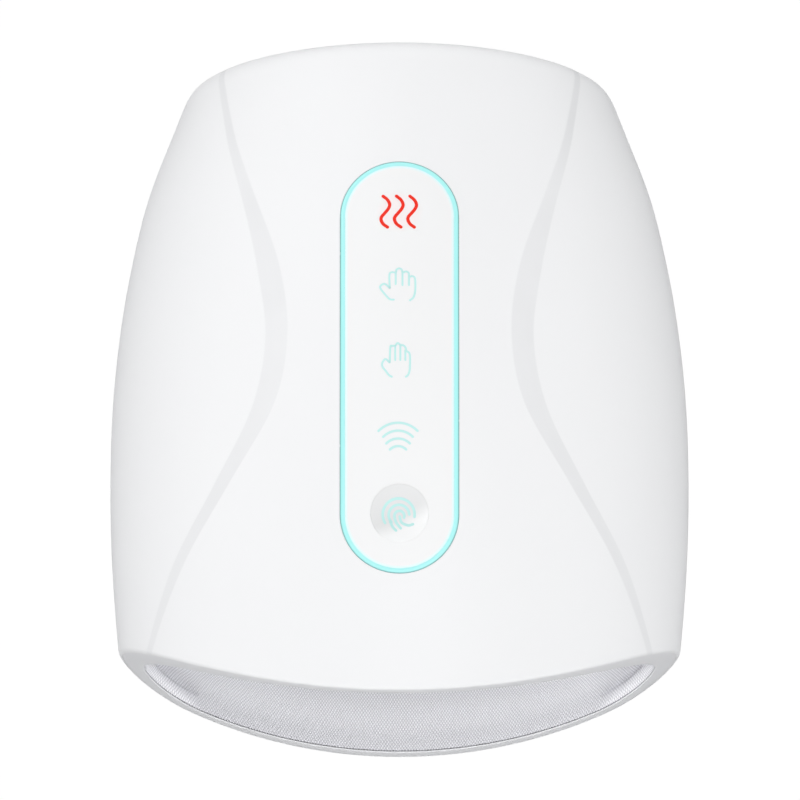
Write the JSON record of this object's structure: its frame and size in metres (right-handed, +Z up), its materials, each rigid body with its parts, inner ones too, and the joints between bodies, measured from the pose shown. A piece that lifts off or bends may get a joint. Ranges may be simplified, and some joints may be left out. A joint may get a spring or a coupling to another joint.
{
  "type": "hand massager",
  "caption": "Domed table-top hand massager: open front mouth with a fabric-lined hand space, light-ringed control panel and dished power button on top.",
  "frame": {"origin": "on the table under the middle of the object, midway between its ends and between its sides", "axes": "+Z up, +Y towards the back with the charging socket, the mouth faces -Y, +X to the right when facing the mouth"},
  "size_m": [0.176, 0.211, 0.0955],
  "materials": {
    "shell_white": "satin white ABS",
    "bezel_white": "satin white ABS",
    "panel_white": "smooth satin white",
    "ring_cyan": "translucent light guide, lit pale cyan",
    "switch_black": "black nylon",
    "light_box_white": "opaque white, reflective",
    "board_green": "solder-mask green laminate",
    "liner_fabric": "fine diagonal weave, pale grey",
    "airbag_skin": "matte thermoplastic film",
    "pad_foam": "open-cell foam",
    "heater_film": "carbon heating film",
    "frame_plastic": "natural moulded ABS",
    "cell_wrap": "blue shrink sleeve over a metal can",
    "socket_steel": "tin-plated steel",
    "motor_can": "plated can",
    "shaft_steel": "turned steel",
    "screw_steel": "zinc-plated steel",
    "hose_clear": "translucent silicone",
    "foot_rubber": "matte grey rubber"
  },
  "bodies": {
    "housing": {"top_shell": "shell_white", "base_shell": "shell_white", "mouth_bezel": "bezel_white", "control_panel": "panel_white", "light_ring": "ring_cyan", "power_switch": "switch_black", "light_box": "light_box_white", "touch_board": "board_green", "liner": "liner_fabric", "upper_airbag": "airbag_skin", "lower_airbag": "airbag_skin", "palm_pad": "pad_foam", "heating_pad": "heater_film", "tunnel_roof": "frame_plastic", "tunnel_tray": "frame_plastic", "rear_frame": "frame_plastic", "battery_cradle": "frame_plastic", "battery_cell_1": "cell_wrap", "battery_cell_2": "cell_wrap", "main_board": "board_green", "usb_socket": "socket_steel", "usb_tongue": "switch_black", "pump_motor": "motor_can", "pump_saddle": "foot_rubber", "pump_head": "frame_plastic", "valve_upper": "frame_plastic", "valve_lower": "frame_plastic", "air_manifold": "frame_plastic", "pump_hose": "hose_clear", "upper_hose": "hose_clear", "lower_hose": "hose_clear", "vibration_motor": "motor_can", "foot_front_left": "foot_rubber", "foot_front_right": "foot_rubber", "foot_back_left": "foot_rubber", "foot_back_right": "foot_rubber", "base_screw_1": "screw_steel", "base_screw_2": "screw_steel", "base_screw_3": "screw_steel", "base_screw_4": "screw_steel", "base_screw_5": "screw_steel", "base_screw_6": "screw_steel", "board_screw_1": "screw_steel", "board_screw_2": "screw_steel", "board_screw_3": "screw_steel", "board_screw_4": "screw_steel", "main_board_screw_1": "screw_steel", "main_board_screw_2": "screw_steel", "main_board_screw_3": "screw_steel", "main_board_screw_4": "screw_steel"},
    "power_button": {"power_button": "panel_white", "switch_plunger": "switch_black"},
    "pump_crank": {"pump_crank": "shaft_steel"},
    "vibration_weight": {"vibration_weight": "shaft_steel"},
    "valve_upper_plunger": {"valve_upper_plunger": "shaft_steel"},
    "valve_lower_plunger": {"valve_lower_plunger": "shaft_steel"}
  },
  "joints": [
    {"name": "power_button_press", "type": "slide", "parent": "housing", "child": "power_button", "axis": [0, 0, -1], "range_m": [0, 0.0004], "stiffness_N_per_m": 1500, "springref_m": -0.0004},
    {"name": "pump_crank_spin", "type": "hinge", "parent": "housing", "child": "pump_crank", "pos_m": [0, 0.075, 0.0563], "axis": [1, 0, 0], "continuous": true},
    {"name": "vibration_weight_spin", "type": "hinge", "parent": "housing", "child": "vibration_weight", "pos_m": [0.042, -0.008, 0.0685], "axis": [0, 1, 0], "continuous": true},
    {"name": "valve_upper_plunger_lift", "type": "slide", "parent": "housing", "child": "valve_upper_plunger", "axis": [0, 0, 1], "range_m": [0, 0.0008], "stiffness_N_per_m": 200, "springref_m": -0.001},
    {"name": "valve_lower_plunger_lift", "type": "slide", "parent": "housing", "child": "valve_lower_plunger", "axis": [0, 0, 1], "range_m": [0, 0.0008], "stiffness_N_per_m": 200, "springref_m": -0.001}
  ]
}
